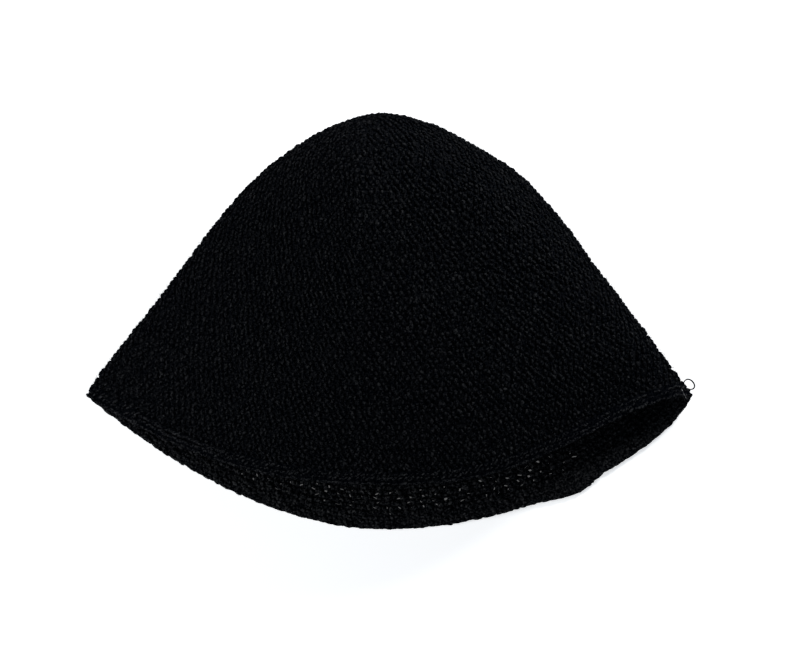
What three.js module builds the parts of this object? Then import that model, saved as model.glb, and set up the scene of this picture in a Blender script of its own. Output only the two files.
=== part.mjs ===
// A bucket hat of worked black yarn, lying on its back wall as it was laid down: the crown points along +Y, the mouth
// opens towards -Y, and the front wall bulges up along +Z. The origin is on the resting surface, under the middle of
// the hat. All sizes are in millimetres.

import * as THREE from "three";
import { LoftGeometry } from "three/addons/geometries/LoftGeometry.js";
import { mergeVertices } from "three/addons/utils/BufferGeometryUtils.js";

// Driving dimensions
const WALL_THICKNESS = 3.2;
const EDGING_WIDTH = 8;
const EDGING_GAP = 0.4;
const EDGING_ROUNDING = 1.2;

// How finely the walls are divided
const POINTS_AROUND = 72;
const BODY_RINGS = 24;
const CROWN_RING_SHARE = 0.012;
const MIDDLE_CROWDING = 0.1;

// Colour and surface of the yarn
const YARN_COLOUR = 0x0b0c0f;
const YARN_ROUGHNESS = 0.95;

// The side line is the widest line of the lying hat: from the left tip, over the crown, to the right tip.
const SIDE_LINE = [
  { across: -198, along: -47.5, high: 5.2 },
  { across: -190, along: -33, high: 5.3 },
  { across: -160, along: 5, high: 6.6 },
  { across: -136, along: 36, high: 9 },
  { across: -112, along: 67, high: 14 },
  { across: -83, along: 98, high: 21 },
  { across: -52, along: 119.5, high: 29 },
  { across: -28, along: 130, high: 34 },
  { across: -3, along: 135, high: 36 },
  { across: 26, along: 129, high: 34 },
  { across: 46, along: 120, high: 30 },
  { across: 83, along: 98, high: 22 },
  { across: 113, along: 67, high: 16 },
  { across: 136, along: 36, high: 12.5 },
  { across: 160, along: 5, high: 10.5 },
  { across: 198, along: -46.5, high: 9 },
];
const SIDE_CROWN_ROW = 8;

// The middle line runs from the back rim along the resting surface, round the crown and over the front wall to the
// front rim.
const MIDDLE_ACROSS = -3;
const MIDDLE_LINE = [
  { along: -135, high: 0 },
  { along: -25, high: 0 },
  { along: 86, high: 0 },
  { along: 116, high: 7 },
  { along: 130, high: 20 },
  { along: 135, high: 36 },
  { along: 130, high: 55 },
  { along: 112, high: 73 },
  { along: 80, high: 82.5 },
  { along: 35, high: 83 },
  { along: -15, high: 78 },
  { along: -63, high: 68 },
  { along: -103, high: 57 },
];
const MIDDLE_CROWN_ROW = 5;

// How the walls turn over at each side line, at the rim: reach is the turn's share of the half width, round is the
// share of the bulge that lies in the turn, and swell is the power of the bulge between them. Towards the crown the
// turn widens into a plain half round.
const SIDE_TURN = {
  left: { reach: 0.03, round: 0.095, swell: 1.5 },
  right: { reach: 0.075, round: 0.2, swell: 1.05 },
};
const TURN_FADE = 2.2;

// How each wall's rim hangs between the side line and the middle: fullness and ease are the two powers of the curve.
const RIM_HANG = {
  front: { left: { fullness: 2.3, ease: 1.05 }, right: { fullness: 2.65, ease: 2.05 } },
  back: { left: { fullness: 1.85, ease: 1.0 }, right: { fullness: 1.9, ease: 0.72 } },
};
const CROWN_HANG = { fullness: 2.0, ease: 1.0 };
const HANG_FADE = 2;

// Soft ridges (positive lift) and dents (negative lift) of the front wall: the place of each one's middle, the way it
// runs, how far it reaches along that way and to the left and right of it, how round its crest is (2 is soft, 1 is a
// crease), and its lift.
const SOFT_FOLDS = [
  { across: -19, along: 62, turn: 90, length: 82, left: 26, right: 24, crest: 1, lift: 12 },
  { across: 35, along: 62, turn: 88, length: 48, left: 16, right: 14, crest: 2, lift: -3.8 },
  { across: -74, along: 76, turn: 68, length: 36, left: 30, right: 13, crest: 2, lift: -4.5 },
  { across: 138, along: -60, turn: 33, length: 55, left: 24, right: 18, crest: 2, lift: -9 },
];
const FOLD_SIDE_EASE = 0.35;

// The edging's last round ends in a small step at the back, in degrees of turn: it grows towards the join and falls
// away past it.
const JOIN_TURN = 308.8;
const JOIN_GROWTH_TURN = 12;
const JOIN_DROP_TURN = 7.5;
const JOIN_STEP = 4.2;

const LINE_TENSION = 0.5;
const SAMPLES_PER_LINE = 400;
const NORMAL_STEP = 1e-3;

const { clamp, degToRad, lerp, radToDeg, smoothstep } = THREE.MathUtils;

// A half line from the crown to one end of a table, as a function of the share of its length
function lineFromCrown(rows, crownRow, lastRow) {
  const curve = new THREE.CatmullRomCurve3(
    rows.map(({ across = MIDDLE_ACROSS, along, high }) => new THREE.Vector3(across, along, high)),
    false,
    "catmullrom",
    LINE_TENSION,
  );
  const crownPlace = crownRow / (rows.length - 1);
  const endPlace = lastRow / (rows.length - 1);
  const points = [];
  const lengths = [];
  for (let i = 0; i <= SAMPLES_PER_LINE; i++) {
    const point = curve.getPoint(lerp(crownPlace, endPlace, i / SAMPLES_PER_LINE));
    point.z = Math.max(0, point.z);
    lengths.push(i === 0 ? 0 : lengths[i - 1] + point.distanceTo(points[i - 1]));
    points.push(point);
  }
  const total = lengths[SAMPLES_PER_LINE];
  const at = (share) => {
    const wanted = share * total;
    let next = lengths.findIndex((length) => length >= wanted);
    if (next < 1) next = next === 0 ? 1 : SAMPLES_PER_LINE;
    const part = (wanted - lengths[next - 1]) / (lengths[next] - lengths[next - 1]);
    return points[next - 1].clone().lerp(points[next], part);
  };
  return { at, total };
}

const leftSide = lineFromCrown(SIDE_LINE, SIDE_CROWN_ROW, 0);
const rightSide = lineFromCrown(SIDE_LINE, SIDE_CROWN_ROW, SIDE_LINE.length - 1);
const backMiddle = lineFromCrown(MIDDLE_LINE, MIDDLE_CROWN_ROW, 0);
const frontMiddle = lineFromCrown(MIDDLE_LINE, MIDDLE_CROWN_ROW, MIDDLE_LINE.length - 1);
const SLOPE_LENGTH = (leftSide.total + rightSide.total + backMiddle.total + frontMiddle.total) / 4;
const BODY_LAST_SHARE = 1 - (EDGING_WIDTH + EDGING_GAP) / SLOPE_LENGTH;

// The lift of all soft folds at one place of the front wall
function foldLift(across, along) {
  let lift = 0;
  for (const fold of SOFT_FOLDS) {
    const turn = degToRad(fold.turn);
    const dx = across - fold.across;
    const dy = along - fold.along;
    const run = (dx * Math.cos(turn) + dy * Math.sin(turn)) / fold.length;
    const leftward = dy * Math.cos(turn) - dx * Math.sin(turn);
    const off = Math.abs(leftward) / (leftward > 0 ? fold.left : fold.right);
    lift += fold.lift * Math.exp(-run * run - Math.pow(off, fold.crest));
  }
  return lift;
}

// A point of the outer surface: share runs from the crown (0) to the rim (1), turn goes round from the right side
// line over the front wall, the left side line and the back wall.
function outerPoint(share, turn) {
  const toSide = Math.cos(turn);
  const isFront = Math.sin(turn) >= 0;
  const sideName = toSide >= 0 ? "right" : "left";
  const side = (toSide >= 0 ? rightSide : leftSide).at(share);
  const middle = (isFront ? frontMiddle : backMiddle).at(share);
  const away = Math.abs(toSide);

  const crownness = Math.pow(Math.max(0, 1 - share), TURN_FADE);
  const turnShape = SIDE_TURN[sideName];
  const reach = lerp(turnShape.reach, 1, crownness);
  const round = lerp(turnShape.round, 1, crownness);
  const inTurn = clamp(1 - (1 - away) / reach, 0, 1);
  const turnRise = Math.sqrt(1 - inTurn * inTurn);

  const hang = RIM_HANG[isFront ? "front" : "back"][sideName];
  const rimness = Math.pow(share, HANG_FADE);
  const fullness = lerp(CROWN_HANG.fullness, hang.fullness, rimness);
  const ease = lerp(CROWN_HANG.ease, hang.ease, rimness);
  const drop = Math.pow(1 - Math.pow(away, fullness), ease);

  const across = lerp(middle.x, side.x, away);
  const along = lerp(side.y, middle.y, drop);
  if (!isFront) return new THREE.Vector3(across, along, lerp(side.z, middle.z, turnRise));
  const swell = Math.pow(1 - away * away, turnShape.swell);
  const rise = lerp(swell, turnRise, round);
  const lift = foldLift(across, along) * smoothstep(Math.sin(turn), 0, FOLD_SIDE_EASE);
  return new THREE.Vector3(across, along, lerp(side.z, middle.z, rise) + lift);
}

// A point at a depth below the outer surface, measured along its normal; the edging keeps the normal of the body's
// lower edge, so that the two stay parallel.
function wallPoint(share, turn, depth) {
  const outer = outerPoint(share, turn);
  if (depth === 0) return outer;
  const at = Math.min(share, BODY_LAST_SHARE);
  const alongSlope = outerPoint(at + NORMAL_STEP, turn).sub(outerPoint(at - NORMAL_STEP, turn));
  const around = outerPoint(at, turn + NORMAL_STEP).sub(outerPoint(at, turn - NORMAL_STEP));
  const normal = around.cross(alongSlope).normalize();
  return outer.addScaledVector(normal, -depth);
}

// The turn of one point of a ring: the points crowd a little towards the middle of each wall.
function turnOfPoint(index) {
  const even = (2 * Math.PI * index) / POINTS_AROUND;
  return even + (MIDDLE_CROWDING / 2) * Math.sin(2 * even);
}

// A closed ring of the wall; shareAt gives the share of the slope for each turn.
function ring(shareAt, depth) {
  const points = [];
  for (let i = 0; i < POINTS_AROUND; i++) {
    const turn = turnOfPoint(i);
    points.push(wallPoint(shareAt(turn), turn, depth));
  }
  return points;
}

// How far the edging reaches past the plain rim at one turn, for the step at its join
function joinStep(turn) {
  const degrees = radToDeg(turn);
  const before = smoothstep(degrees, JOIN_TURN - JOIN_GROWTH_TURN, JOIN_TURN);
  const after = 1 - smoothstep(degrees, JOIN_TURN, JOIN_TURN + JOIN_DROP_TURN);
  return JOIN_STEP * before * after;
}

const yarn = new THREE.MeshStandardMaterial({ color: YARN_COLOUR, roughness: YARN_ROUGHNESS, metalness: 0 });

// A ring shrunk to one point, the middle of another ring
function shrunkRing(points) {
  const middle = new THREE.Vector3();
  for (const point of points) middle.addScaledVector(point, 1 / points.length);
  return points.map(() => middle);
}

// A loft through rings, with shared vertices joined and the triangles left out that a shrunk ring makes empty. Where
// the rings go from the outer face to the inner one, the triangles are turned to face out.
function closedLoft(rings, goesInward) {
  const loft = new LoftGeometry(rings);
  const plain = new THREE.BufferGeometry();
  plain.setAttribute("position", loft.getAttribute("position"));
  plain.setIndex(loft.index);
  const joined = mergeVertices(plain);
  const kept = [];
  for (let i = 0; i < joined.index.count; i += 3) {
    const corners = [0, 1, 2].map((corner) => joined.index.getX(i + corner));
    if (goesInward) corners.reverse();
    if (new Set(corners).size === corners.length) kept.push(...corners);
  }
  joined.setIndex(kept);
  joined.computeVertexNormals();
  return joined;
}

// The crown, side and brim in one wall: rings down the outer face, over the lower edge and back up the inner face
function makeBellBody() {
  const shares = [];
  for (let i = 0; i <= BODY_RINGS; i++) shares.push(lerp(CROWN_RING_SHARE, BODY_LAST_SHARE, i / BODY_RINGS));
  const outerRings = shares.map((share) => ring(() => share, 0));
  const edgeRing = ring(() => BODY_LAST_SHARE, WALL_THICKNESS / 2);
  const innerRings = shares.map((share) => ring(() => share, WALL_THICKNESS)).reverse();
  const outerCrown = shrunkRing(outerRings[0]);
  const innerCrown = shrunkRing(innerRings[BODY_RINGS]);
  const rings = [outerCrown, ...outerRings, edgeRing, ...innerRings, innerCrown];
  const body = new THREE.Mesh(closedLoft(rings, false), yarn);
  body.name = "bell_body";
  return body;
}

// The finishing round at the mouth: a band with a rounded lower edge, closed on itself
function makeRimEdging() {
  const topShare = () => 1 - EDGING_WIDTH / SLOPE_LENGTH;
  const lowShare = (turn) => 1 + (joinStep(turn) - EDGING_ROUNDING) / SLOPE_LENGTH;
  const endShare = (turn) => 1 + joinStep(turn) / SLOPE_LENGTH;
  const halfShare = (turn) => (topShare() + lowShare(turn)) / 2;
  const rings = [
    ring(topShare, 0),
    ring(topShare, WALL_THICKNESS / 2),
    ring(topShare, WALL_THICKNESS),
    ring(halfShare, WALL_THICKNESS),
    ring(lowShare, WALL_THICKNESS),
    ring(endShare, WALL_THICKNESS - EDGING_ROUNDING),
    ring(endShare, EDGING_ROUNDING),
    ring(lowShare, 0),
    ring(halfShare, 0),
  ];
  const edging = new THREE.Mesh(closedLoft([...rings, rings[0]], true), yarn);
  edging.name = "rim_edging";
  return edging;
}

const hat = new THREE.Group();
hat.add(makeBellBody(), makeRimEdging());

export default hat;
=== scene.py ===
"""The looks of a soft bucket hat of worked black yarn, lying on its back wall and seen from straight above.

Sizes of the hat and its stitches are in millimetres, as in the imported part.
MM turns them into the scene's metres.
"""
import math
from collections import namedtuple

import bpy
import numpy as np
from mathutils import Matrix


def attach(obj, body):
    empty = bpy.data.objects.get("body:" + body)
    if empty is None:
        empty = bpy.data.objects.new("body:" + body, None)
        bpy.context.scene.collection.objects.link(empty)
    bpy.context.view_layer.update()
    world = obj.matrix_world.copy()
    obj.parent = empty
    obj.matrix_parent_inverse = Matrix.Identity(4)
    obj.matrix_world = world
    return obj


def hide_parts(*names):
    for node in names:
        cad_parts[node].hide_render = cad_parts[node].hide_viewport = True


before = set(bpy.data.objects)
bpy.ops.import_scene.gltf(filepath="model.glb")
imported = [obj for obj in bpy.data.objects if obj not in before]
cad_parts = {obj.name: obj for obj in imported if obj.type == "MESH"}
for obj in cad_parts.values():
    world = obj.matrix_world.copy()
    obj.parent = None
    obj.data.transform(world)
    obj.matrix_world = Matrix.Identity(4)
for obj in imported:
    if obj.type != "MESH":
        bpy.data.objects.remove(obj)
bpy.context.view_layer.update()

MM = 0.001
SEED = 20

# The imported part's two pieces and the slots of their yarn
Part = namedtuple("Part", "node slot")
BODY_PART = Part("bell_body", "body_yarn")
EDGING_PART = Part("rim_edging", "edging_yarn")

# The lying hat's shape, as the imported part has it
WALL_THICKNESS = 3.2
EDGING_WIDTH = 8
EDGING_GAP = 0.4
LinePoint = namedtuple("LinePoint", "across along high")
SIDE_LINE = (
    LinePoint(-198, -47.5, 5.2),
    LinePoint(-190, -33, 5.3),
    LinePoint(-160, 5, 6.6),
    LinePoint(-136, 36, 9),
    LinePoint(-112, 67, 14),
    LinePoint(-83, 98, 21),
    LinePoint(-52, 119.5, 29),
    LinePoint(-28, 130, 34),
    LinePoint(-3, 135, 36),
    LinePoint(26, 129, 34),
    LinePoint(46, 120, 30),
    LinePoint(83, 98, 22),
    LinePoint(113, 67, 16),
    LinePoint(136, 36, 12.5),
    LinePoint(160, 5, 10.5),
    LinePoint(198, -46.5, 9),
)
SIDE_CROWN_ROW = 8
MIDDLE_ACROSS = -3
MIDDLE_LINE = (
    LinePoint(MIDDLE_ACROSS, -135, 0),
    LinePoint(MIDDLE_ACROSS, -25, 0),
    LinePoint(MIDDLE_ACROSS, 86, 0),
    LinePoint(MIDDLE_ACROSS, 116, 7),
    LinePoint(MIDDLE_ACROSS, 130, 20),
    LinePoint(MIDDLE_ACROSS, 135, 36),
    LinePoint(MIDDLE_ACROSS, 130, 55),
    LinePoint(MIDDLE_ACROSS, 112, 73),
    LinePoint(MIDDLE_ACROSS, 80, 82.5),
    LinePoint(MIDDLE_ACROSS, 35, 83),
    LinePoint(MIDDLE_ACROSS, -15, 78),
    LinePoint(MIDDLE_ACROSS, -63, 68),
    LinePoint(MIDDLE_ACROSS, -103, 57),
)
MIDDLE_CROWN_ROW = 5
SideTurn = namedtuple("SideTurn", "reach round swell")
LEFT_TURN = SideTurn(0.03, 0.095, 1.5)
RIGHT_TURN = SideTurn(0.075, 0.2, 1.05)
TURN_FADE = 2.2
Hang = namedtuple("Hang", "fullness ease")
FRONT_LEFT_HANG = Hang(2.3, 1.05)
FRONT_RIGHT_HANG = Hang(2.65, 2.05)
BACK_LEFT_HANG = Hang(1.85, 1.0)
BACK_RIGHT_HANG = Hang(1.9, 0.72)
CROWN_HANG = Hang(2.0, 1.0)
HANG_FADE = 2
Fold = namedtuple("Fold", "across along turn length left right crest lift")
SOFT_FOLDS = (
    Fold(-19, 62, 90, 82, 26, 24, 1, 12),
    Fold(35, 62, 88, 48, 16, 14, 2, -3.8),
    Fold(-74, 76, 68, 36, 30, 13, 2, -4.5),
    Fold(138, -60, 33, 55, 24, 18, 2, -9),
)
FOLD_SIDE_EASE = 0.35
JOIN_TURN = 308.8
JOIN_GROWTH_TURN = 12
JOIN_DROP_TURN = 7.5
JOIN_STEP = 4.2
LINE_TENSION = 0.5
SAMPLES_PER_LINE = 400
NORMAL_STEP = 1e-3
SHORTEST = 1e-12

# The stitches: the height of a round, and the widths a stitch may have before a round takes more stitches
ROW_HEIGHT = 3.3
WIDEST_STITCH = 4.4
NEW_STITCH = 3.95
FEWEST_STITCHES = 6
RING_SAMPLES = 1440

# Shapes of yarn: where the rings of a short tube lie along it, how far they stand out and how thick they are
Ring = namedtuple("Ring", "run rise half_width half_height")
GRAIN = (
    Ring(-2.2, -0.5, 0, 0),
    Ring(-1.25, 0.3, 1.05, 0.75),
    Ring(0.0, 0.65, 1.3, 0.85),
    Ring(1.25, 0.3, 1.05, 0.75),
    Ring(2.2, -0.5, 0, 0),
)
PURL = (
    Ring(-2.3, 0.3, 0, 0),
    Ring(-1.3, 0.8, 1.3, 0.65),
    Ring(0.0, 1.0, 1.55, 0.7),
    Ring(1.3, 0.8, 1.3, 0.65),
    Ring(2.3, 0.3, 0, 0),
)
STROKE = (
    Ring(-2.7, 0.3, 0, 0),
    Ring(-1.6, 0.95, 0.72, 0.6),
    Ring(0.0, 1.15, 0.9, 0.7),
    Ring(1.6, 0.95, 0.72, 0.6),
    Ring(2.7, 0.3, 0, 0),
)
INNER_STROKE = (
    Ring(-2.3, 0.2, 0, 0),
    Ring(-1.3, 0.8, 1.2, 0.7),
    Ring(0.0, 1.0, 1.4, 0.75),
    Ring(1.3, 0.8, 1.2, 0.7),
    Ring(2.3, 0.2, 0, 0),
)
RIM_STROKE = (
    Ring(-3.0, 0.2, 0, 0),
    Ring(-1.7, 0.6, 0.9, 0.55),
    Ring(0.0, 0.75, 1.05, 0.6),
    Ring(1.7, 0.6, 0.9, 0.55),
    Ring(3.0, 0.2, 0, 0),
)

# How far yarn strays at random: across and down the wall, in lean (degrees), in size and out of the wall
Jitter = namedtuple("Jitter", "across down lean size rise")
STITCH_JITTER = Jitter(0.5, 0.4, 0, 0, 0)
GRAIN_JITTER = Jitter(0.2, 0.2, 20, 0.13, 0.14)
PURL_JITTER = Jitter(0.4, 0.35, 28, 0.14, 0.08)
STROKE_JITTER = Jitter(0.4, 0.28, 14, 0.14, 0.14)
RIM_STROKE_JITTER = Jitter(0.6, 0.22, 7, 0.12, 0.1)

# The yarn of a stitch on each face of the front and back walls, and its lean: inside, it lies across
Strand = namedtuple("Strand", "piece front face lean sides shape jitter")
STRANDS = (
    Strand("front_grains", True, 1, -3, 6, GRAIN, GRAIN_JITTER),
    Strand("front_inner_grains", True, -1, 80, 4, PURL, PURL_JITTER),
    Strand("back_outer_grains", False, 1, -3, 4, GRAIN, GRAIN_JITTER),
    Strand("back_inner_grains", False, -1, 80, 6, PURL, PURL_JITTER),
)

# Each yarn's colours: low, all over its strands, and along their crests a painted highlight (lighter tops, so
# the sides stay darker as in shade); how narrow the crests are, and its plies and twist
Yarn = namedtuple("Yarn", "name low crest narrow plies twist")
BODY_YARN = Yarn("body_yarn_look", (0.0025, 0.0025, 0.0026), (0.0052, 0.0052, 0.0052), 2.3, 3, 1.6)
# The inner yarn is the same yarn as outside, painted lighter: painted light on the mouth's inside
INNER_YARN_PAINTED_LIGHT = Yarn("inner_yarn_painted_light_look", (0.0069, 0.0069, 0.0070), (0.0059, 0.0059, 0.0060), 2, 3, 1.6)
EDGING_YARN = Yarn("edging_yarn_look", (0.0021, 0.0021, 0.0022), (0.0084, 0.0084, 0.0085), 1.6, 3, 2.2)
FIBRE_YARN = Yarn("fibre_look", (0.0042, 0.0042, 0.0044), (0.0105, 0.0105, 0.0107), 3, 1, 1)
LINT_YARN = Yarn("lint_look", (0.006, 0.006, 0.006), (0.014, 0.014, 0.014), 3, 1, 1)
CURL_YARN = Yarn("stray_curl_look", (0.0015, 0.0015, 0.0015), (0.003, 0.003, 0.003), 3, 1, 1)
PALE_YARN = Yarn("stray_pale_look", (0.10, 0.10, 0.10), (0.2, 0.2, 0.2), 3, 1, 1)
GROUND_COLOUR = (0.0030, 0.0030, 0.0031)
# The inner ground is painted lighter in the same way: painted light on the mouth's inside
INNER_GROUND_PAINTED_LIGHT_COLOUR = (0.0056, 0.0056, 0.0057)
CORE_COLOUR = (0.0014, 0.0014, 0.0015)
NAVY = (0, 0.0004, 0.0012)
YARN_ROUGHNESS = 0.9

# How the yarn's brightness changes: from strand to strand by its shade (a random tone, raised at the lip by
# painted light), and in small patches by a noise
SHADE_POWER = 4
SHADE_RANGE = 0.6
SHADE_START = 0.86
Noise = namedtuple("Noise", "scale detail")
PATCH_NOISE = Noise(850, 1)
PATCH_RANGE = 9.5
PATCH_START = -3.75
PATCH_LEAST = 0.05

# The small relief of the plies with fuzz on them, and of the ground, with its distance in metres
Relief = namedtuple("Relief", "distance strength")
PLY_RELIEF = Relief(0.00012, 0.8)
FUZZ_NOISE = Noise(1100, 2)
FUZZ_HEIGHT = 2.4
GROUND_RELIEF = Relief(0.0006, 1)
GROUND_NOISE = Noise(900, 2)

# The ground between the strands, and the eyelets in columns of gaps in the middle of the back wall
Ground = namedtuple("Ground", "piece depth colour")
GROUNDS = (
    Ground("body_ground", 1.5, GROUND_COLOUR),
    Ground("inner_ground_painted_light", 2.5, INNER_GROUND_PAINTED_LIGHT_COLOUR),
)
GROUND_OVERLAP = 0.06
PATCH_POINTS = 4
EYELET_WIDTH = (0.6, 2.1)
EYELET_HEIGHT = (0.4, 1.5)
EYELET_SKEW = 0.8
EYELET_SHIFT = 0.1
EYELET_PULL = 0.13
EYELET_SHARE = 0.8
EYELET_COLUMN = 8.1
EYELET_AWAY = (100, 136)
EYELET_FROM_RIM = (9, 15)
EYELET_TO_RIM = (22, 27)

# The edging: rows of slanted strokes on a core, and strokes along the rim itself
Core = namedtuple("Core", "piece face colour")
CORES = (
    Core("edging_outer_core", 1, CORE_COLOUR),
    Core("edging_inner_core_painted_light", -1, INNER_GROUND_PAINTED_LIGHT_COLOUR),
)
CORE_HALF_THICKNESS = 1.1
CORE_FROM_RIM = 0.5
CORE_STEPS_AROUND = 720
CORE_ROUND_STEPS = 5
StrokeRow = namedtuple("StrokeRow", "piece face from_rim lean shape")
STROKE_ROWS = (
    StrokeRow("edging_outer_upper", 1, 7.2, 54, STROKE),
    StrokeRow("edging_outer_lower", 1, 4.3, 54, STROKE),
    StrokeRow("edging_inner_upper", -1, 7.4, 75, INNER_STROKE),
    StrokeRow("edging_inner_middle", -1, 5.1, 75, INNER_STROKE),
    StrokeRow("edging_inner_lower", -1, 2.8, 75, INNER_STROKE),
)
RIM_ROWS = (
    StrokeRow("edging_rim_outer", 1, 1.1, 86, RIM_STROKE),
    StrokeRow("edging_rim_inner", -1, 1.1, 86, RIM_STROKE),
)
STROKE_PITCH = 3.5
STROKE_SIDES = 6
LEVEL_STROKE_LEAN = 82
LEVEL_STROKE_RISE = (70, 150)
PLAIN_SHADES = (0, 1)
RIM_SHADES = (0.1, 1.0)

# The fuller lip at the left of the front, in the rows and on the rim: where across the hat it rises and
# falls, how much its strokes grow, and the painted light (shade) that lightens them as if lit from the left
Lip = namedtuple("Lip", "rise fall growth shade")
BAND_LIP = Lip((-168, -150), (-118, -98), 0.35, 0.05)
RIM_LIP = Lip((-190, -182), (-166, -150), 0.1, 0.2)

# Loose fibres that stand off the yarn, and a little paler lint
Fibres = namedtuple("Fibres", "piece count length half_width yarn")
LOOSE_FIBRES = Fibres("loose_fibres", 9000, (1.2, 4.2), 0.06, FIBRE_YARN)
PALE_LINT = Fibres("pale_lint", 45, (1.5, 6.5), 0.14, LINT_YARN)
FIBRE_POINTS = 4
FIBRE_OUTER_SHARE = 0.75
FIBRE_SINK = 0.5
FIBRE_CURL = 0.5
FIBRE_STAND = (0.1, 0.7)
FIBRE_ARCH = 2.2
FIBRE_TAPER = 0.7
FIBRE_TILT = 0.6
# How much painted highlight a fibre has all along it
FIBRE_PAINTED_HIGHLIGHT = 0.7

# Two stray fibres at the right tip, by points of their way: a dark curled one and a short pale one
Stray = namedtuple("Stray", "piece radius yarn way")
STRAYS = (
    Stray(
        "stray_curl", 0.46, CURL_YARN,
        (
            LinePoint(191.2, -39.5, 12), LinePoint(192.4, -37.1, 14), LinePoint(194.3, -36.3, 15),
            LinePoint(196.6, -37.3, 15), LinePoint(198.4, -39.7, 14), LinePoint(198.3, -42, 13),
            LinePoint(196.3, -43, 12), LinePoint(194.2, -42.2, 11),
        ),
    ),
    Stray(
        "stray_pale_fibre", 0.15, PALE_YARN,
        (LinePoint(189.3, -42, 20), LinePoint(190.6, -45, 20.5), LinePoint(193.2, -49.2, 18)),
    ),
)
STRAY_STEPS = 24
STRAY_SIDES = 6
STRAY_TAPER = (0.1, 0.9)
STRAY_SHADE = 0.5

# The camera looks straight down; the picture is 800 pixels wide, each as wide as PIXEL on the floor.
IMAGE_WIDTH = 800
PIXEL = 0.655
CAMERA_HEIGHT = 1800
CAMERA_PLACE = (7.1, -7.55)
SENSOR_WIDTH = 36

# The light, in metres: soft lights from the crown's right, the left and the mouth's left, and a surround
Light = namedtuple("Light", "name place size power")
LIGHTS = (
    Light("right_light", (0.78, 1.08, 0.62), 0.6, 24),
    Light("left_light", (-1.36, -0.22, 0.62), 0.6, 13),
    Light("front_light", (-0.45, -1.15, 0.95), 0.6, 4),
)
WORLD_COLOUR = (0.45, 0.72, 1.0)
WORLD_STRENGTH = 0.1

# The floor, in metres, and a strip of it under the back wall that glows less, as painted shade of the hat,
# between two shares of the back wall and two turns
FLOOR_SIZE = 12
FLOOR_DROP = 0.0004
FLOOR_COLOUR = (0.9, 0.9, 0.9)
FLOOR_ROUGHNESS = 0.9
FLOOR_SPECULAR = 0.1
FLOOR_GLOW = 0.6
GLOW_COLOUR = (1, 1, 1)
PAINTED_SHADE_FLOOR_GLOW = 0.1
SHADED_FLOOR_DROP = 0.0002
SHADED_FLOOR_SHARES = (0.8, 0.97)
SHADED_FLOOR_TURNS = (224, 316)
SHADED_FLOOR_STEPS = 60

random = np.random.default_rng(SEED)


# The hat's surface


def unit(vectors):
    """The vectors at length one."""
    return vectors / np.maximum(np.linalg.norm(vectors, axis=-1, keepdims=True), SHORTEST)


def lerp(start, end, part):
    """The value that part of the way from start to end."""
    return start + (end - start) * part


def smoothstep(value, low, high):
    """A smooth rise from 0 at low to 1 at high."""
    part = np.clip((value - low) / (high - low), 0, 1)
    return part * part * (3 - 2 * part)


def smooth_line(points, places):
    """Points of the smooth line through a table's points, at places counted in rows."""
    padded = np.vstack([2 * points[0] - points[1], points, 2 * points[-1] - points[-2]])
    row = np.clip(np.floor(places).astype(int), 0, len(points) - 2)
    part = (places - row)[:, None]
    before, start, end, after = (padded[row + step] for step in range(4))
    start_slope = LINE_TENSION * (end - before)
    end_slope = LINE_TENSION * (after - start)
    square, cube = part**2, part**3
    return (
        (2 * cube - 3 * square + 1) * start
        + (cube - 2 * square + part) * start_slope
        + (3 * square - 2 * cube) * end
        + (cube - square) * end_slope
    )


class HalfLine:
    """One half of a line of the hat, from the crown to the rim, followed by the share of its length."""

    def __init__(self, rows, crown_row, last_row):
        places = np.linspace(crown_row, last_row, SAMPLES_PER_LINE + 1)
        self.points = smooth_line(np.array(rows, float), places)
        self.points[:, 2] = np.maximum(self.points[:, 2], 0)
        steps = np.linalg.norm(np.diff(self.points, axis=0), axis=1)
        self.lengths = np.concatenate([[0], np.cumsum(steps)])
        self.total = self.lengths[-1]

    def at(self, share):
        """Points at shares of the length."""
        wanted = np.asarray(share) * self.total
        after = np.clip(np.searchsorted(self.lengths, wanted), 1, SAMPLES_PER_LINE)
        low, high = self.lengths[after - 1], self.lengths[after]
        part = ((wanted - low) / (high - low))[..., None]
        return lerp(self.points[after - 1], self.points[after], part)


LEFT_SIDE = HalfLine(SIDE_LINE, SIDE_CROWN_ROW, 0)
RIGHT_SIDE = HalfLine(SIDE_LINE, SIDE_CROWN_ROW, len(SIDE_LINE) - 1)
BACK_MIDDLE = HalfLine(MIDDLE_LINE, MIDDLE_CROWN_ROW, 0)
FRONT_MIDDLE = HalfLine(MIDDLE_LINE, MIDDLE_CROWN_ROW, len(MIDDLE_LINE) - 1)
SLOPE_LENGTH = (LEFT_SIDE.total + RIGHT_SIDE.total + BACK_MIDDLE.total + FRONT_MIDDLE.total) / 4
BODY_LAST_SHARE = 1 - (EDGING_WIDTH + EDGING_GAP) / SLOPE_LENGTH
ROUNDS = int(BODY_LAST_SHARE * SLOPE_LENGTH / ROW_HEIGHT)
ROUND_SHARE = BODY_LAST_SHARE / ROUNDS


def fold_lift(across, along):
    """The lift of all soft folds at places of the front wall."""
    lift = np.zeros_like(across)
    for fold in SOFT_FOLDS:
        turn = math.radians(fold.turn)
        dx, dy = across - fold.across, along - fold.along
        run = (dx * math.cos(turn) + dy * math.sin(turn)) / fold.length
        leftward = dy * math.cos(turn) - dx * math.sin(turn)
        off = np.abs(leftward) / np.where(leftward > 0, fold.left, fold.right)
        lift = lift + fold.lift * np.exp(-run * run - off**fold.crest)
    return lift


def by_wall(is_front, is_right, pick):
    """A number of the four rim hangs, picked for each point's wall and side."""
    front = np.where(is_right, pick(FRONT_RIGHT_HANG), pick(FRONT_LEFT_HANG))
    back = np.where(is_right, pick(BACK_RIGHT_HANG), pick(BACK_LEFT_HANG))
    return np.where(is_front, front, back)


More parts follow.
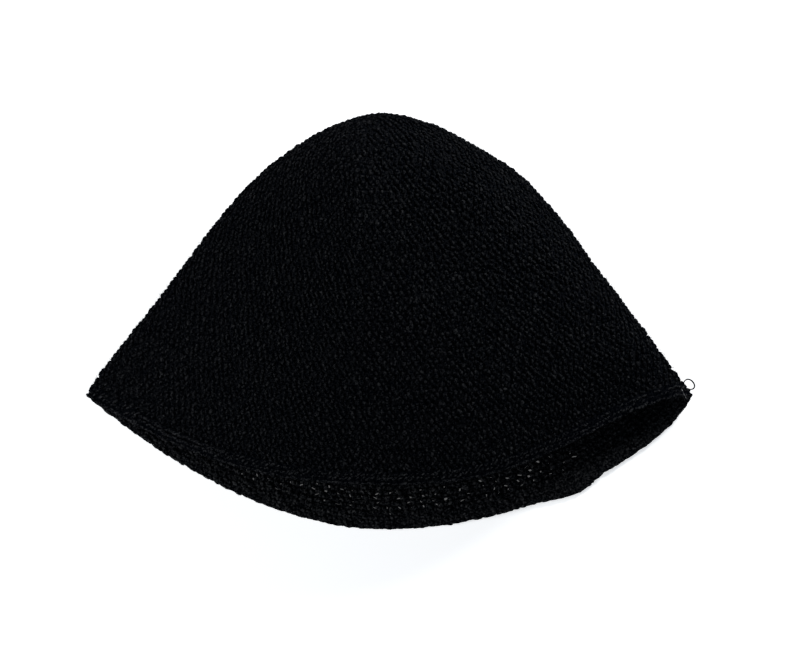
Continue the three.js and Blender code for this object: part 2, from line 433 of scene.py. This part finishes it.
def outer_point(share, turn):
    """Points of the outer surface: share runs from the crown (0) to the rim (1).

    Turn goes round from the right side line over the front wall, the left side line and the back wall.
    """
    share, turn = np.broadcast_arrays(np.asarray(share, float), np.asarray(turn, float))
    to_side = np.cos(turn)
    is_front = np.sin(turn) >= 0
    is_right = to_side >= 0
    away = np.abs(to_side)
    side = np.where(is_right[..., None], RIGHT_SIDE.at(share), LEFT_SIDE.at(share))
    middle = np.where(is_front[..., None], FRONT_MIDDLE.at(share), BACK_MIDDLE.at(share))

    crownness = np.maximum(0, 1 - share) ** TURN_FADE
    reach = lerp(np.where(is_right, RIGHT_TURN.reach, LEFT_TURN.reach), 1, crownness)
    roundness = lerp(np.where(is_right, RIGHT_TURN.round, LEFT_TURN.round), 1, crownness)
    swell_power = np.where(is_right, RIGHT_TURN.swell, LEFT_TURN.swell)
    in_turn = np.clip(1 - (1 - away) / reach, 0, 1)
    turn_rise = np.sqrt(1 - in_turn**2)

    rimness = share**HANG_FADE
    fullness = lerp(CROWN_HANG.fullness, by_wall(is_front, is_right, lambda hang: hang.fullness), rimness)
    ease = lerp(CROWN_HANG.ease, by_wall(is_front, is_right, lambda hang: hang.ease), rimness)
    drop = np.maximum(0, 1 - away**fullness) ** ease

    across = lerp(middle[..., 0], side[..., 0], away)
    along = lerp(side[..., 1], middle[..., 1], drop)
    swell = np.maximum(0, 1 - away**2) ** swell_power
    rise = np.where(is_front, lerp(swell, turn_rise, roundness), turn_rise)
    lift = np.where(is_front, fold_lift(across, along) * smoothstep(np.sin(turn), 0, FOLD_SIDE_EASE), 0)
    high = lerp(side[..., 2], middle[..., 2], rise) + lift
    return np.stack([across, along, high], axis=-1)


class Rings:
    """Rings of the hat at given shares of its slope.

    Each is followed by the share of its own length, from the middle of the front.
    """

    def __init__(self, shares):
        self.shares = np.asarray(shares, float)
        self.turns = math.pi / 2 + np.linspace(0, 2 * math.pi, RING_SAMPLES + 1)
        points = outer_point(self.shares[:, None], self.turns[None, :])
        steps = np.linalg.norm(np.diff(points, axis=1), axis=2)
        self.lengths = np.concatenate([np.zeros((len(self.shares), 1)), np.cumsum(steps, axis=1)], axis=1)
        self.totals = self.lengths[:, -1]

    def turn_at(self, row, part):
        """The turn at shares of one ring's length."""
        return np.interp(np.mod(part, 1) * self.totals[row], self.lengths[row], self.turns)


def join_step(turn):
    """How far the edging reaches past the plain rim at each turn."""
    degrees = np.mod(np.degrees(turn), 360)
    before = smoothstep(degrees, JOIN_TURN - JOIN_GROWTH_TURN, JOIN_TURN)
    after = 1 - smoothstep(degrees, JOIN_TURN, JOIN_TURN + JOIN_DROP_TURN)
    return JOIN_STEP * before * after


# Places on the wall


Places = namedtuple("Places", "middle across down normal")


def wall_places(share, turn):
    """Where yarn sits: the middle of the wall, and the ways across, down to the rim and out of the hat."""
    around = outer_point(share, turn + NORMAL_STEP) - outer_point(share, turn - NORMAL_STEP)
    at = np.clip(share, NORMAL_STEP, BODY_LAST_SHARE)
    along = outer_point(at + NORMAL_STEP, turn) - outer_point(at - NORMAL_STEP, turn)
    normal = unit(np.cross(around, along))
    across = unit(around)
    middle = outer_point(share, turn) - normal * (WALL_THICKNESS / 2)
    return Places(middle, across, np.cross(normal, across), normal)


def chosen(places, which):
    """Some of the places."""
    return Places(*(values[which] for values in places))


def moved(places, across, down, rise):
    """The places moved across, down and out of the wall."""
    step = across * places.across + down * places.down + rise * places.normal
    return places._replace(middle=places.middle + step)


def jittered(places, jitter):
    """The places moved a little at random, and random leans and sizes for them."""
    count = len(places.middle)
    across, down, rise = (
        random.normal(0, spread, (count, 1)) for spread in (jitter.across, jitter.down, jitter.rise)
    )
    leans = random.normal(0, jitter.lean, count)
    sizes = 1 + random.normal(0, jitter.size, count)
    return moved(places, across, down, rise), leans, sizes


def leaning(places, degrees):
    """The way down the wall, turned towards the way across by some degrees."""
    angle = np.radians(degrees)[:, None]
    return np.cos(angle) * places.down + np.sin(angle) * places.across


# Meshes


def cell_faces(first, second, third, fourth):
    """The two triangles of a cell with two corners in one row and two in the next."""
    return [(first, second, third), (second, fourth, third)]


def repeated(faces, count, points):
    """The triangles of many like shapes, each with so many points of its own."""
    return np.array(faces)[None] + np.arange(count)[:, None, None] * points


def tube_faces(rings, sides):
    """The triangles of a closed tube: its rings come first, then the points at its start and its end."""
    start_point, end_point = rings * sides, rings * sides + 1
    last = (rings - 1) * sides
    faces = []
    for corner in range(sides):
        after = (corner + 1) % sides
        faces.append((start_point, after, corner))
        for low in range(0, last, sides):
            high = low + sides
            faces += cell_faces(low + corner, low + after, high + corner, high + after)
        faces.append((end_point, last + corner, last + after))
    return faces


def strip_faces(steps, section):
    """The triangles of a strip of equal sections, one after the other round a loop."""
    faces = []
    for around in range(steps):
        here, there = around * section, (around + 1) % steps * section
        for point in range(section - 1):
            faces += cell_faces(here + point, there + point, here + point + 1, there + point + 1)
    return faces


def thread_faces(steps, sides):
    """The triangles of a round thread with flat ends."""
    last = (steps - 1) * sides
    faces = []
    for here in range(0, last, sides):
        there = here + sides
        for corner in range(sides):
            after = (corner + 1) % sides
            faces += cell_faces(here + corner, here + after, there + corner, there + after)
    for corner in range(1, sides - 1):
        faces += [(0, corner + 1, corner), (last, last + corner, last + corner + 1)]
    return faces


def patch_faces(has_eyelet):
    """The triangles of a patch of ground: one whole cell, or the cells round an eyelet."""
    last = PATCH_POINTS - 1
    if not has_eyelet:
        return cell_faces(0, last, last * PATCH_POINTS, last * PATCH_POINTS + last)
    faces = []
    for row in range(last):
        for column in range(last):
            corner = row * PATCH_POINTS + column
            below = corner + PATCH_POINTS
            if (row, column) != (1, 1):
                faces += cell_faces(corner, corner + 1, below, below + 1)
    return faces


def tubes(places, way, face, shape, sides, size):
    """Closed tubes, one at each place: each follows a table of rings along its way, on one face."""
    normal = places.normal * face
    side = np.cross(normal, way)
    slope = unit(np.gradient(np.array(shape, float)[:, :2], axis=0))
    angles = 2 * math.pi * np.arange(sides) / sides - math.pi / 2
    count = len(way)
    grown = size[:, None]
    rings = shape[1:-1]
    widest = max(ring.half_width for ring in rings)
    points = len(rings) * sides + 2
    verts = np.empty((count, points, 3))
    along, around, crest = (np.zeros((count, points)) for _ in range(3))

    def centre(ring):
        return places.middle + grown * (ring.run * way + ring.rise * normal)

    for number, ring in enumerate(rings):
        run_slope, rise_slope = slope[number + 1]
        up = rise_slope * -way + run_slope * normal
        for corner, angle in enumerate(angles):
            point = number * sides + corner
            sideways = ring.half_width * math.cos(angle) * side
            upwards = ring.half_height * math.sin(angle) * up
            verts[:, point] = centre(ring) + grown * (sideways + upwards)
            along[:, point] = (number + 1) / (len(rings) + 1)
            around[:, point] = corner / sides
            # crest: the top of each ring, where the yarn colour paints a highlight
            crest[:, point] = max(0, math.sin(angle)) * ring.half_width / widest
    verts[:, -2] = centre(shape[0])
    verts[:, -1] = centre(shape[-1])
    along[:, -1] = 1
    faces = repeated(tube_faces(len(rings), sides), count, points)
    return verts, faces, {"along": along, "around": around, "crest": crest}


def add_mesh(name, verts, faces, material, part, **values):
    """A piece of the hat from arrays in millimetres, kept above the floor, with values on its points."""
    verts = np.asarray(verts, float).reshape(-1, 3)
    verts[:, 2] = np.maximum(verts[:, 2], 0)
    faces = np.asarray(faces).reshape(-1, 3)
    mesh = bpy.data.meshes.new(name)
    mesh.vertices.add(len(verts))
    mesh.vertices.foreach_set("co", (verts * MM).astype(np.float32).ravel())
    mesh.loops.add(faces.size)
    mesh.loops.foreach_set("vertex_index", faces.astype(np.int32).ravel())
    mesh.polygons.add(len(faces))
    mesh.polygons.foreach_set("loop_start", np.arange(0, faces.size, 3, dtype=np.int32))
    mesh.update(calc_edges=True)
    mesh.shade_smooth()
    for key, value in values.items():
        attribute = mesh.attributes.new(key, "FLOAT", "POINT")
        attribute.data.foreach_set("value", np.asarray(value, np.float32).ravel())
    mesh.materials.append(material)
    piece = bpy.data.objects.new(name, mesh)
    bpy.context.collection.objects.link(piece)
    node, slot = part
    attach(piece, "root")
    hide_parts(node)


def add_tubes(row, places, lean, sides, jitter, material, part, shades=PLAIN_SHADES, painted_light=0, larger=0):
    """A row's piece of many tubes, each with a shade of its own at random, raised where painted light
    lightens them.
    """
    loose, lean_jitter, size = jittered(places, jitter)
    way = leaning(loose, lean + lean_jitter)
    verts, faces, values = tubes(loose, way, row.face, row.shape, sides, size * (1 + larger))
    shade = np.repeat(random.uniform(*shades, len(way)) + painted_light, verts.shape[1])
    add_mesh(row.piece, verts, faces, material, part, shade=shade, **values)


# Materials


def new_material(name):
    """A new node material, its node tree and its shader."""
    material = bpy.data.materials.new(name)
    material.use_nodes = True
    tree = material.node_tree
    return material, tree, tree.nodes["Principled BSDF"]


def feed(tree, value, socket):
    """Links a node's output to a socket, or sets a plain value on it."""
    if isinstance(value, bpy.types.NodeSocket):
        tree.links.new(value, socket)
    else:
        socket.default_value = value


def math_node(tree, operation, *values):
    """A math node on sockets or numbers; returns its result."""
    node = tree.nodes.new("ShaderNodeMath")
    node.operation = operation
    for value, socket in zip(values, node.inputs):
        feed(tree, value, socket)
    return node.outputs[0]


def point_value(tree, name):
    """A value stored on the points of a mesh."""
    node = tree.nodes.new("ShaderNodeAttribute")
    node.attribute_name = name
    return node.outputs["Fac"]


def noise(tree, kind):
    """A noise in the hat's own coordinates."""
    coordinates = tree.nodes.new("ShaderNodeTexCoord")
    node = tree.nodes.new("ShaderNodeTexNoise")
    node.inputs["Scale"].default_value = kind.scale
    node.inputs["Detail"].default_value = kind.detail
    tree.links.new(coordinates.outputs["Object"], node.inputs["Vector"])
    return node.outputs["Fac"]


def tinted(tree, colour, brightness):
    """A colour times a changing brightness."""
    node = tree.nodes.new("ShaderNodeVectorMath")
    node.operation = "SCALE"
    node.inputs[0].default_value = colour
    tree.links.new(brightness, node.inputs["Scale"])
    return node.outputs["Vector"]


def summed(tree, colour, more):
    """A colour and more of another, which may be a plain one."""
    node = tree.nodes.new("ShaderNodeVectorMath")
    feed(tree, colour, node.inputs[0])
    feed(tree, more, node.inputs[1])
    return node.outputs["Vector"]


def bump(tree, height, relief):
    """A bump from a height."""
    node = tree.nodes.new("ShaderNodeBump")
    node.inputs["Strength"].default_value = relief.strength
    node.inputs["Distance"].default_value = relief.distance
    tree.links.new(height, node.inputs["Height"])
    return node.outputs["Normal"]


def patchy(tree):
    """A brightness that changes in small patches."""
    patches = math_node(tree, "MULTIPLY_ADD", noise(tree, PATCH_NOISE), PATCH_RANGE, PATCH_START)
    return math_node(tree, "MAXIMUM", patches, PATCH_LEAST)


def make_matte(tree, shader, colour, normal):
    """Gives a shader a colour with a touch of navy, a relief and no gloss."""
    tree.links.new(summed(tree, colour, NAVY), shader.inputs["Base Color"])
    tree.links.new(normal, shader.inputs["Normal"])
    shader.inputs["Roughness"].default_value = YARN_ROUGHNESS
    shader.inputs["Specular IOR Level"].default_value = 0


def yarn_colour(tree, yarn):
    """The yarn's colour: each strand has its own shade at random, with a painted highlight along its crest.
    """
    own = math_node(tree, "POWER", point_value(tree, "shade"), SHADE_POWER)
    own = math_node(tree, "MULTIPLY_ADD", own, SHADE_RANGE, SHADE_START)
    brightness = math_node(tree, "MULTIPLY", own, patchy(tree))
    crest = math_node(tree, "POWER", point_value(tree, "crest"), yarn.narrow)
    painted_highlight_colour = tinted(tree, yarn.crest, math_node(tree, "MULTIPLY", brightness, crest))
    return summed(tree, tinted(tree, yarn.low, brightness), painted_highlight_colour)


def yarn_relief(tree, yarn):
    """The yarn's relief: its plies run round it in a twist, with fuzz on them."""
    turns = math_node(tree, "MULTIPLY", point_value(tree, "along"), yarn.twist)
    rounds = math_node(tree, "MULTIPLY", point_value(tree, "around"), yarn.plies)
    angle = math_node(tree, "MULTIPLY", math_node(tree, "ADD", turns, rounds), 2 * math.pi)
    fuzz = math_node(tree, "MULTIPLY", noise(tree, FUZZ_NOISE), FUZZ_HEIGHT)
    height = math_node(tree, "ADD", math_node(tree, "SINE", angle), fuzz)
    return bump(tree, height, PLY_RELIEF)


def yarn_material(yarn):
    """Matte yarn of a few plies."""
    material, tree, shader = new_material(yarn.name)
    make_matte(tree, shader, yarn_colour(tree, yarn), yarn_relief(tree, yarn))
    return material


def ground_material(name, colour):
    """The dark yarn that runs behind the grains and the strokes."""
    material, tree, shader = new_material(name)
    relief = bump(tree, noise(tree, GROUND_NOISE), GROUND_RELIEF)
    make_matte(tree, shader, tinted(tree, colour, patchy(tree)), relief)
    return material


def floor_material(name, glow):
    """A pale lit floor."""
    material, _, shader = new_material(name)
    shader.inputs["Base Color"].default_value = (*FLOOR_COLOUR, 1)
    shader.inputs["Roughness"].default_value = FLOOR_ROUGHNESS
    shader.inputs["Specular IOR Level"].default_value = FLOOR_SPECULAR
    shader.inputs["Emission Color"].default_value = (*GLOW_COLOUR, 1)
    shader.inputs["Emission Strength"].default_value = glow
    return material


# The body


def stitch_counts(lengths):
    """How many stitches each round has: an even number that grows when the stitches have become too wide."""
    counts = []
    count = 0
    for length in lengths:
        if count == 0 or length / count > WIDEST_STITCH:
            count = max(FEWEST_STITCHES, 2 * round(length / NEW_STITCH / 2))
        counts.append(count)
    return counts


def gap_edges(rings, row, count, gap):
    """The turns of each gap's patch of ground: its first edge, its eyelet's two sides and its last edge."""
    half = 0.5 + GROUND_OVERLAP
    hole = random.uniform(*EYELET_WIDTH, count) / 2 / (rings.totals[row] / count)
    off = random.normal(0, EYELET_SHIFT, count)
    edges = [rings.turn_at(row, (gap + shift) / count) for shift in (-half, off - hole, off + hole, half)]
    return np.stack(edges, axis=1)


def eyelet_likelihood(share, turn):
    """How likely a gap of an eyelet column is to be open: only in a band near the rim of the back wall."""
    away = np.abs(outer_point(share, turn)[:, 0])
    from_rim = (1 - share) * SLOPE_LENGTH
    in_band = smoothstep(from_rim, *EYELET_FROM_RIM) * (1 - smoothstep(from_rim, *EYELET_TO_RIM))
    return EYELET_SHARE * (1 - smoothstep(away, *EYELET_AWAY)) * in_band * (np.sin(turn) < 0)


def pushed_aside(eyelet, odd):
    """How the eyelets of a round push its stitches: 1 for one before a stitch, -1 for one after it."""
    before = eyelet if odd else np.roll(eyelet, 1)
    after = np.roll(eyelet, -1) if odd else eyelet
    return before.astype(float) - after


Stitches = namedtuple("Stitches", "share turn gap_turns eyelet")


def body_stitches():
    """Every stitch of the body: its share of the slope, its turn, and its gap's turns and eyelet."""
    rings = Rings((np.arange(ROUNDS) + 0.5) * ROUND_SHARE)
    columns_around = round(rings.totals[-1] / EYELET_COLUMN)
    rounds = []
    for row, count in enumerate(stitch_counts(rings.totals)):
        odd = row % 2
        number = np.arange(count)
        gap = number + (1 - odd) / 2
        gap_turns = gap_edges(rings, row, count, gap)
        column = gap / count * columns_around
        in_column = np.abs(column - np.round(column)) <= 0.5 * columns_around / count
        likelihood = eyelet_likelihood(rings.shares[row], gap_turns[:, 1])
        eyelet = in_column & (random.random(count) < likelihood)
        pushed = EYELET_PULL * pushed_aside(eyelet, odd)
        turn = rings.turn_at(row, (number + odd / 2 + pushed) / count)
        rounds.append((np.full(count, rings.shares[row]), turn, gap_turns, eyelet))
    return Stitches(*(np.concatenate(values) for values in zip(*rounds)))


def ground_places(stitches):
    """The points of every patch of ground, row by row, with a slanted place for an eyelet in the middle."""
    count = len(stitches.share)
    half = np.full(count, ROUND_SHARE * (0.5 + GROUND_OVERLAP))
    hole = random.uniform(*EYELET_HEIGHT, count) / 2 / SLOPE_LENGTH
    off = random.normal(0, EYELET_SHIFT, count) * ROUND_SHARE
    shares = stitches.share[:, None] + np.stack([-half, off - hole, off + hole, half], axis=1)
    shares = np.clip(shares, 2 * NORMAL_STEP, BODY_LAST_SHARE)
    grid_share = np.repeat(shares[:, :, None], PATCH_POINTS, axis=2)
    grid_turn = np.repeat(stitches.gap_turns[:, None, :], PATCH_POINTS, axis=1)
    eyelet_turn = stitches.gap_turns[:, 2] - stitches.gap_turns[:, 1]
    skew = random.normal(0, EYELET_SKEW, count) * eyelet_turn
    grid_turn[:, 1, 1:3] += skew[:, None]
    grid_turn[:, 2, 1:3] -= skew[:, None]
    return wall_places(grid_share.ravel(), grid_turn.ravel())


def add_ground(stitches):
    """The ground behind the grains: a patch for each gap, with a slanted eyelet in some of them."""
    places = ground_places(stitches)
    whole, opened = np.array(patch_faces(False)), np.array(patch_faces(True))
    patches = [opened if eyelet else whole for eyelet in stitches.eyelet]
    faces = np.concatenate([patch + number * PATCH_POINTS**2 for number, patch in enumerate(patches)])
    for ground in GROUNDS:
        verts = places.middle + places.normal * (WALL_THICKNESS / 2 - ground.depth)
        look = ground_material(ground.piece + "_look", ground.colour)
        add_mesh(ground.piece, verts, faces, look, BODY_PART)


def add_body(painted_light_inner_yarn):
    """The crown, side and brim in worked yarn: strands on both faces and the ground between them."""
    outer_yarn = yarn_material(BODY_YARN)
    stitches = body_stitches()
    places, _, _ = jittered(wall_places(stitches.share, stitches.turn), STITCH_JITTER)
    is_front = np.sin(stitches.turn) >= 0
    for strand in STRANDS:
        some = chosen(places, is_front == strand.front)
        yarn = outer_yarn if strand.face > 0 else painted_light_inner_yarn
        add_tubes(strand, some, strand.lean, strand.sides, strand.jitter, yarn, BODY_PART)
    add_ground(stitches)


# The edging


def rim_places(from_rim):
    """Places a stroke's pitch apart along the rim, some way above its edge, and their turns."""
    count = round(Rings([1]).totals[0] / STROKE_PITCH)
    rings = Rings([1 - from_rim / SLOPE_LENGTH])
    turn = rings.turn_at(0, np.arange(count) / count)
    step = join_step(turn) * (1 - from_rim / EDGING_WIDTH)
    share = 1 + (step - from_rim) / SLOPE_LENGTH
    return wall_places(share, turn), turn


def add_edging_core():
    """The edging's core: an outer and an inner strip, which meet in a rounded lower edge along the rim."""
    turn = np.linspace(0, 2 * math.pi, CORE_STEPS_AROUND, endpoint=False)
    angle = np.linspace(math.pi / 2, 0, CORE_ROUND_STEPS)
    top = EDGING_WIDTH + EDGING_GAP + CORE_HALF_THICKNESS
    from_rim = np.array([top, *(CORE_FROM_RIM + CORE_HALF_THICKNESS * (1 - np.cos(angle)))])
    rise = CORE_HALF_THICKNESS * np.array([1, *np.sin(angle)])
    step = join_step(turn)[:, None] * (from_rim < EDGING_WIDTH)[None, :]
    share = 1 + (step - from_rim[None, :]) / SLOPE_LENGTH
    places = wall_places(share.ravel(), np.repeat(turn, len(from_rim)))
    faces = strip_faces(CORE_STEPS_AROUND, len(from_rim))
    for core in CORES:
        verts = places.middle + core.face * np.tile(rise, CORE_STEPS_AROUND)[:, None] * places.normal
        look = ground_material(core.piece + "_look", core.colour)
        add_mesh(core.piece, verts, faces, look, EDGING_PART)


def lip_share(lip, places, turn):
    """How much of a lip there is at places of the rim: it lies at the left of the front."""
    across = places.middle[:, 0]
    return smoothstep(across, *lip.rise) * (1 - smoothstep(across, *lip.fall)) * (np.sin(turn) > 0)


def stroke_lean(row, places, turn, lip):
    """The lean of a row's strokes.

    Those of the front's outer face come to lie along the rim at the right and at the lip.
    """
    right = smoothstep(places.middle[:, 0], *LEVEL_STROKE_RISE) * (np.sin(turn) > 0)
    return lerp(row.lean, LEVEL_STROKE_LEAN, np.maximum(right, lip) * (row.face > 0))


def add_stroke_row(row, yarn):
    """One row of slanted strokes, fuller at its lip and painted lighter there, as if lit from the left."""
    places, turn = rim_places(row.from_rim)
    lip = lip_share(BAND_LIP, places, turn)
    lean = stroke_lean(row, places, turn, lip)
    add_tubes(
        row, places, lean, STROKE_SIDES, STROKE_JITTER, yarn, EDGING_PART,
        painted_light=BAND_LIP.shade * lip, larger=BAND_LIP.growth * lip,
    )


def add_rim_row(row, yarn):
    """The strokes along the very edge of the rim on one face, fuller at their lip and painted lighter there,
    as if lit from the left.
    """
    places, turn = rim_places(row.from_rim)
    lip = lip_share(RIM_LIP, places, turn)
    add_tubes(
        row, places, row.lean, STROKE_SIDES, RIM_STROKE_JITTER, yarn, EDGING_PART,
        shades=RIM_SHADES, painted_light=RIM_LIP.shade * lip, larger=RIM_LIP.growth * lip,
    )


def add_edging(painted_light_inner_yarn):
    """The finishing rounds at the mouth: slanted strokes on both faces above strokes along the rim."""
    outer_yarn = yarn_material(EDGING_YARN)
    add_edging_core()
    for row in STROKE_ROWS:
        add_stroke_row(row, outer_yarn if row.face > 0 else painted_light_inner_yarn)
    for row in RIM_ROWS:
        add_rim_row(row, outer_yarn if row.face > 0 else painted_light_inner_yarn)


# Loose fibres


def fibre_points(fibres):
    """Pairs of points along every fibre, which starts in the wall, curls sideways and arches off its face."""
    count = fibres.count
    share = np.sqrt(random.random(count)) * BODY_LAST_SHARE
    turn = random.random(count) * 2 * math.pi
    places = wall_places(np.maximum(share, 1 / ROUNDS), turn)
    face = np.where(random.random(count) < FIBRE_OUTER_SHARE, 1, -1)[:, None]
    heading = random.random(count)[:, None] * 2 * math.pi
    length = random.uniform(*fibres.length, count)[:, None]
    flat = np.cos(heading) * places.down + np.sin(heading) * places.across
    side = np.cross(places.normal, flat)
    curl = random.normal(0, FIBRE_CURL, (count, 1))
    stand = random.uniform(*FIBRE_STAND, (count, 1))
    root = places.middle + face * places.normal * (WALL_THICKNESS / 2 - FIBRE_SINK)
    across = unit(side + FIBRE_TILT * places.normal)
    verts = np.empty((count, FIBRE_POINTS * 2, 3))
    for point in range(FIBRE_POINTS):
        part = point / (FIBRE_POINTS - 1)
        off = face * stand * math.sin(part * FIBRE_ARCH) * places.normal
        centre = root + length * (part * flat + curl * part**2 * side + off)
        half = fibres.half_width * (1 - FIBRE_TAPER * part)
        verts[:, point * 2] = centre - half * across
        verts[:, point * 2 + 1] = centre + half * across
    return verts


def add_fibres(fibres):
    """Short loose fibres that lie on both faces of the body and stand off it a little."""
    verts = fibre_points(fibres)
    points = FIBRE_POINTS * 2
    faces = []
    for low in range(0, points - 2, 2):
        faces += cell_faces(low, low + 1, low + 2, low + 3)
    shade = np.repeat(random.random(fibres.count), points)
    zero = np.zeros_like(shade)
    add_mesh(
        fibres.piece, verts, repeated(faces, fibres.count, points), yarn_material(fibres.yarn), BODY_PART,
        shade=shade, along=zero, around=zero, crest=zero + FIBRE_PAINTED_HIGHLIGHT,
    )


def add_strays():
    """The stray fibres at the right tip, as thin round threads."""
    angle = 2 * math.pi * np.arange(STRAY_SIDES) / STRAY_SIDES
    taper = np.sqrt(np.sin(math.pi * np.linspace(*STRAY_TAPER, STRAY_STEPS)))
    shade = np.full(STRAY_STEPS * STRAY_SIDES, STRAY_SHADE)
    faces = thread_faces(STRAY_STEPS, STRAY_SIDES)
    for stray in STRAYS:
        centres = smooth_line(np.array(stray.way, float), np.linspace(0, len(stray.way) - 1, STRAY_STEPS))
        way = unit(np.gradient(centres, axis=0))
        side = unit(np.cross(way, (0, 0, 1)))
        up = np.cross(side, way)
        outward = np.cos(angle)[:, None] * side[:, None] + np.sin(angle)[:, None] * up[:, None]
        verts = centres[:, None] + (stray.radius * taper)[:, None, None] * outward
        # The strays' painted highlight is as strong as their shade
        add_mesh(
            stray.piece, verts, faces, yarn_material(stray.yarn), EDGING_PART,
            shade=shade, along=0 * shade, around=0 * shade, crest=shade,
        )


# The stage


def add_floor():
    """The pale floor."""
    bpy.ops.mesh.primitive_plane_add(size=FLOOR_SIZE, location=(0, 0, -FLOOR_DROP))
    floor = bpy.context.object
    floor.name = "floor"
    floor.data.materials.append(floor_material("pale_floor", FLOOR_GLOW))


def add_painted_shade_floor():
    """The strip of floor under the back wall's edge, which glows less: painted shade of the hat, seen through
    the eyelets.
    """
    turns = np.radians(np.linspace(*SHADED_FLOOR_TURNS, SHADED_FLOOR_STEPS + 1))
    edges = [outer_point(share, turns) for share in SHADED_FLOOR_SHARES]
    points = np.stack(edges, axis=1).reshape(-1, 3) * MM
    points[:, 2] = -SHADED_FLOOR_DROP
    faces = [(2 * step, 2 * step + 1, 2 * step + 3, 2 * step + 2) for step in range(SHADED_FLOOR_STEPS)]
    mesh = bpy.data.meshes.new("painted_shade_floor")
    mesh.from_pydata(points.tolist(), [], faces)
    mesh.materials.append(floor_material("painted_shade_floor", PAINTED_SHADE_FLOOR_GLOW))
    shaded = bpy.data.objects.new("painted_shade_floor", mesh)
    bpy.context.collection.objects.link(shaded)


def add_lights():
    """The bluish surround and the soft lights, each turned to the middle of the floor."""
    world = bpy.data.worlds.new("studio")
    world.use_nodes = True
    background = world.node_tree.nodes["Background"]
    background.inputs["Color"].default_value = (*WORLD_COLOUR, 1)
    background.inputs["Strength"].default_value = WORLD_STRENGTH
    bpy.context.scene.world = world
    for row in LIGHTS:
        light = bpy.data.lights.new(row.name, "AREA")
        light.shape = "DISK"
        light.size = row.size
        light.energy = row.power
        lamp = bpy.data.objects.new(row.name, light)
        lamp.location = row.place
        lamp.rotation_euler = (-lamp.location).to_track_quat("-Z", "Y").to_euler()
        lamp.visible_camera = False
        bpy.context.collection.objects.link(lamp)


def add_camera():
    """The camera, straight above the hat."""
    lens = bpy.data.cameras.new("camera")
    lens.sensor_fit = "HORIZONTAL"
    lens.sensor_width = SENSOR_WIDTH
    lens.lens = SENSOR_WIDTH * CAMERA_HEIGHT / (IMAGE_WIDTH * PIXEL)
    camera = bpy.data.objects.new("camera", lens)
    camera.location = (CAMERA_PLACE[0] * MM, CAMERA_PLACE[1] * MM, CAMERA_HEIGHT * MM)
    bpy.context.collection.objects.link(camera)
    bpy.context.scene.camera = camera
    bpy.context.scene.view_settings.view_transform = "Standard"


add_floor()
add_painted_shade_floor()
add_lights()
add_camera()
inner_yarn_painted_light_look = yarn_material(INNER_YARN_PAINTED_LIGHT)
add_body(inner_yarn_painted_light_look)
add_edging(inner_yarn_painted_light_look)
add_fibres(LOOSE_FIBRES)
add_fibres(PALE_LINT)
add_strays()
